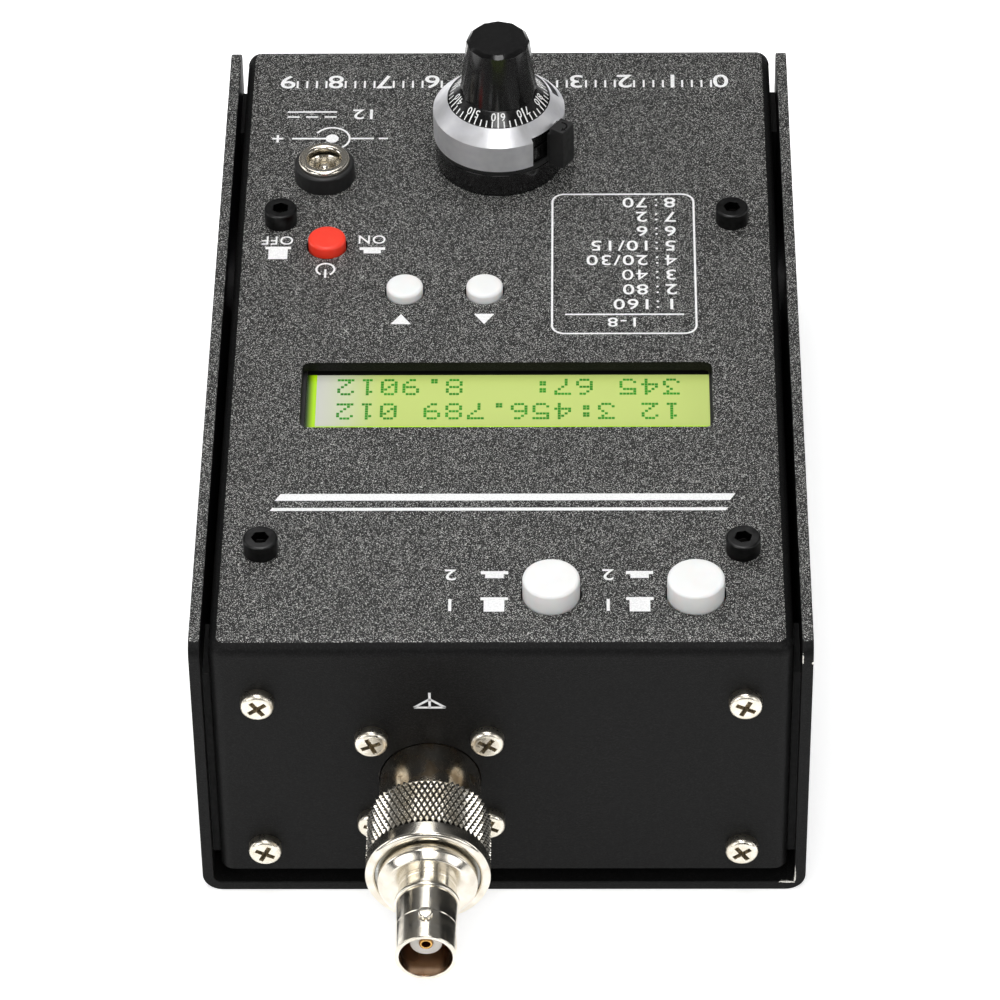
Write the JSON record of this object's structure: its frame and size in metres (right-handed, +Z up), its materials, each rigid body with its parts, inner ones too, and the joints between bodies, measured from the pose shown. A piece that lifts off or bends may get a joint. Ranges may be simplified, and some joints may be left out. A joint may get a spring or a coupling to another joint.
{
  "type": "antenna analyzer",
  "caption": "Desktop radio antenna analyzer: black folded sheet-metal box with a character display, a turns-counting dial, push buttons, a power socket and a coaxial antenna connector.",
  "frame": {"origin": "centre of the box's underside", "axes": "+X right along the front wall, +Y from the antenna connector's wall to the rear wall, +Z up out of the control panel"},
  "size_m": [0.097, 0.1925, 0.0793],
  "materials": {
    "case_paint": "black sand-texture powder coat",
    "black_oxide": "black-oxide steel, semi-gloss",
    "nickel": "bright nickel plating",
    "zinc_steel": "plain plated steel",
    "satin_aluminium": "satin anodised aluminium",
    "brass_plain": "turned brass",
    "gold_contact": "thin gold plating",
    "ptfe": "white PTFE",
    "board_green": "green solder mask",
    "black_matte": "black moulded plastic, satin",
    "black_gloss": "black moulded plastic, glossy",
    "scale_print": "black with white graduations",
    "cap_red": "red moulded plastic",
    "cap_white": "white moulded plastic",
    "rubber_black": "black rubber",
    "foam_pad": "grey adhesive foam",
    "lcd_glass": "liquid crystal cell, yellow-green",
    "lcd_light": "diffusing light block",
    "bezel_black": "black painted steel",
    "cell_wrap": "plain shrink sleeve"
  },
  "bodies": {
    "case": {"adapter_body": "nickel", "adapter_contact": "gold_contact", "adapter_gasket": "rubber_black", "adapter_insulator": "ptfe", "antenna_jack_body": "nickel", "antenna_jack_contact": "gold_contact", "antenna_jack_insulator": "ptfe", "band_switches": "black_matte", "battery_cells": "cell_wrap", "battery_contacts": "nickel", "battery_pad": "foam_pad", "battery_tray": "black_matte", "board_chips": "black_matte", "board_screws": "nickel", "bottom_cover": "case_paint", "corner_brackets": "bezel_black", "coupling_clip": "zinc_steel", "dial_base": "black_gloss", "dial_ring": "satin_aluminium", "end_screws": "nickel", "flange_nuts": "nickel", "flange_screws": "nickel", "lcd_backlight": "lcd_light", "lcd_bezel": "bezel_black", "lcd_board": "board_green", "lcd_glass": "lcd_glass", "lcd_header_pins": "gold_contact", "lcd_header_strip": "black_matte", "lcd_screws": "nickel", "lcd_spacers": "brass_plain", "main_board": "board_green", "panel_chassis": "case_paint", "panel_posts": "brass_plain", "panel_screws": "black_oxide", "pot_body": "zinc_steel", "pot_bushing": "nickel", "pot_nut": "nickel", "pot_terminals": "brass_plain", "pot_washer": "nickel", "power_socket_body": "black_matte", "power_socket_collar": "black_matte", "power_socket_pin": "nickel", "power_socket_sleeve": "nickel", "power_switch": "black_matte", "step_switches": "black_matte"},
    "dial": {"dial_knob": "black_gloss", "dial_scale": "scale_print", "knob_set_screw": "zinc_steel", "pot_shaft": "zinc_steel"},
    "counter": {"counter_ring": "scale_print"},
    "brake": {"dial_brake": "black_matte"},
    "coupling": {"coupling_nut": "nickel"},
    "power_button": {"power_cap": "cap_red", "power_plunger": "black_matte"},
    "down_key": {"down_button": "cap_white"},
    "up_key": {"up_button": "cap_white"},
    "band_left": {"band_left_cap": "cap_white", "band_left_plunger": "black_matte"},
    "band_right": {"band_right_cap": "cap_white", "band_right_plunger": "black_matte"}
  },
  "joints": [
    {"name": "dial_turn", "type": "hinge", "parent": "case", "child": "dial", "pos_m": [-0.0013, 0.0455, 0.06], "axis": [0, 0, 1], "range_deg": [-1800, 1800]},
    {"name": "counter_turn", "type": "hinge", "parent": "case", "child": "counter", "pos_m": [-0.0013, 0.0455, 0.06], "axis": [0, 0, 1], "range_deg": [-180, 180]},
    {"name": "brake_swing", "type": "hinge", "parent": "case", "child": "brake", "pos_m": [-0.0013, 0.0455, 0.06], "axis": [0, 0, 1], "range_deg": [-15, 0]},
    {"name": "coupling_turn", "type": "hinge", "parent": "case", "child": "coupling", "pos_m": [-0.0114, -0.0916, 0.02515], "axis": [0, -1, 0], "continuous": true},
    {"name": "power_push", "type": "slide", "parent": "case", "child": "power_button", "axis": [0, 0, -1], "range_m": [0, 0.0015]},
    {"name": "down_push", "type": "slide", "parent": "case", "child": "down_key", "axis": [0, 0, -1], "range_m": [0, 0.0005], "stiffness_N_per_m": 800},
    {"name": "up_push", "type": "slide", "parent": "case", "child": "up_key", "axis": [0, 0, -1], "range_m": [0, 0.0005], "stiffness_N_per_m": 800},
    {"name": "band_left_push", "type": "slide", "parent": "case", "child": "band_left", "axis": [0, 0, -1], "range_m": [0, 0.0022]},
    {"name": "band_right_push", "type": "slide", "parent": "case", "child": "band_right", "axis": [0, 0, -1], "range_m": [0, 0.0022]}
  ],
  "couplings": [
    {"joint": "counter_turn", "follows": "dial_turn", "ratio": -0.1}
  ]
}
